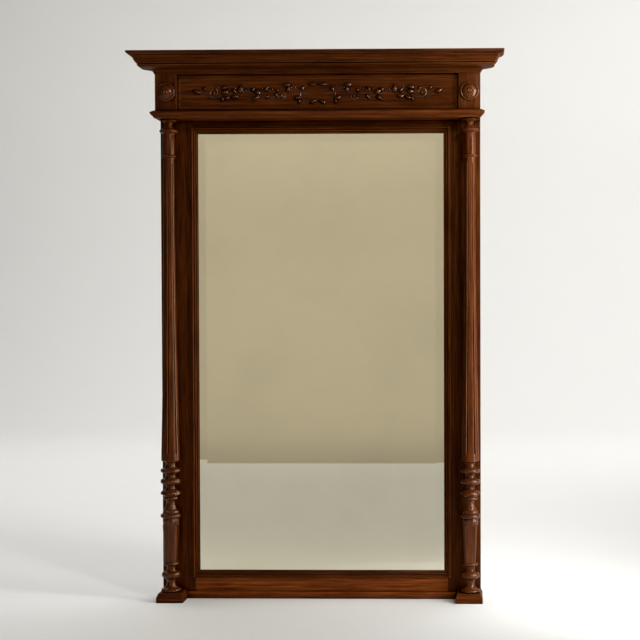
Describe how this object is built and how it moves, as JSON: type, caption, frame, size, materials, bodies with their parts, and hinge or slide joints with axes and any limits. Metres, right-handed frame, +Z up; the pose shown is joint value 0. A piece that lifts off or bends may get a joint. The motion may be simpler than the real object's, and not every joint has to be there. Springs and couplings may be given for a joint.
{
  "type": "floor mirror",
  "caption": "Tall bevelled mirror in a dark oak frame with fluted columns on plinths, a carved frieze with corner roundels and a moulded cornice.",
  "frame": {"origin": "bottom centre of the bounding box, on the floor, midway between the back of the frame and the front of the cornice", "axes": "+X to the viewer's right, +Y towards the wall behind the mirror, +Z up; the front faces -Y"},
  "size_m": [1.151, 0.1785, 1.7],
  "materials": {
    "oak": "dark stained and wax polished",
    "deal": "sawn and planed, unfinished",
    "silvered_glass": "silvered plate glass",
    "brass": "aged, satin",
    "steel": "plain, dulled"
  },
  "bodies": {
    "frame": {"left_stile": "oak", "right_stile": "oak", "top_rail": "oak", "bottom_rail": "oak", "base_strip": "oak", "left_sight_moulding": "oak", "right_sight_moulding": "oak", "top_sight_moulding": "oak", "bottom_sight_moulding": "oak", "left_plinth": "oak", "right_plinth": "oak", "left_baluster": "oak", "right_baluster": "oak", "left_shaft": "oak", "right_shaft": "oak", "left_capital": "oak", "right_capital": "oak", "architrave_shelf": "oak", "frieze_panel": "oak", "left_frieze_block": "oak", "right_frieze_block": "oak", "left_roundel": "oak", "right_roundel": "oak", "frieze_carving": "oak", "left_frieze_end_board": "oak", "right_frieze_end_board": "oak", "front_bed_moulding": "oak", "left_bed_moulding": "oak", "right_bed_moulding": "oak", "soffit_board": "oak", "front_crown_moulding": "oak", "left_crown_moulding": "oak", "right_crown_moulding": "oak", "cornice_top_board": "oak", "left_cornice_end_board": "oak", "right_cornice_end_board": "oak", "joint_pegs": "oak", "back_board_1": "deal", "back_board_2": "deal", "back_board_3": "deal", "back_board_4": "deal", "back_board_5": "deal", "cornice_back_board": "deal", "cornice_glue_blocks": "deal", "glass_wedges": "deal", "glass_setting_blocks": "deal", "mirror_glass": "silvered_glass", "left_hanger_strap": "steel", "right_hanger_strap": "steel", "hanger_screws": "steel", "frame_screws": "steel", "turn_button_screws": "steel"},
    "left_turn_button_1": {"left_turn_button_1": "brass"},
    "left_turn_button_2": {"left_turn_button_2": "brass"},
    "left_turn_button_3": {"left_turn_button_3": "brass"},
    "right_turn_button_1": {"right_turn_button_1": "brass"},
    "right_turn_button_2": {"right_turn_button_2": "brass"},
    "right_turn_button_3": {"right_turn_button_3": "brass"},
    "left_hanger_ring": {"left_hanger_ring": "steel"},
    "right_hanger_ring": {"right_hanger_ring": "steel"}
  },
  "joints": [
    {"name": "left_turn_button_1_turn", "type": "hinge", "parent": "frame", "child": "left_turn_button_1", "pos_m": [-0.425, 0.083, 0.2066], "axis": [0, 1, 0], "range_deg": [-90, 90]},
    {"name": "left_turn_button_2_turn", "type": "hinge", "parent": "frame", "child": "left_turn_button_2", "pos_m": [-0.425, 0.083, 0.777], "axis": [0, 1, 0], "range_deg": [-90, 90]},
    {"name": "left_turn_button_3_turn", "type": "hinge", "parent": "frame", "child": "left_turn_button_3", "pos_m": [-0.425, 0.083, 1.3474], "axis": [0, 1, 0], "range_deg": [-90, 90]},
    {"name": "left_hanger_ring_swing", "type": "hinge", "parent": "frame", "child": "left_hanger_ring", "pos_m": [-0.33, 0.07876, 1.536], "axis": [1, 0, 0], "range_deg": [0, 170]},
    {"name": "right_turn_button_1_turn", "type": "hinge", "parent": "frame", "child": "right_turn_button_1", "pos_m": [0.425, 0.083, 0.2066], "axis": [0, 1, 0], "range_deg": [-90, 90]},
    {"name": "right_turn_button_2_turn", "type": "hinge", "parent": "frame", "child": "right_turn_button_2", "pos_m": [0.425, 0.083, 0.777], "axis": [0, 1, 0], "range_deg": [-90, 90]},
    {"name": "right_turn_button_3_turn", "type": "hinge", "parent": "frame", "child": "right_turn_button_3", "pos_m": [0.425, 0.083, 1.3474], "axis": [0, 1, 0], "range_deg": [-90, 90]},
    {"name": "right_hanger_ring_swing", "type": "hinge", "parent": "frame", "child": "right_hanger_ring", "pos_m": [0.33, 0.07876, 1.536], "axis": [1, 0, 0], "range_deg": [0, 170]}
  ]
}
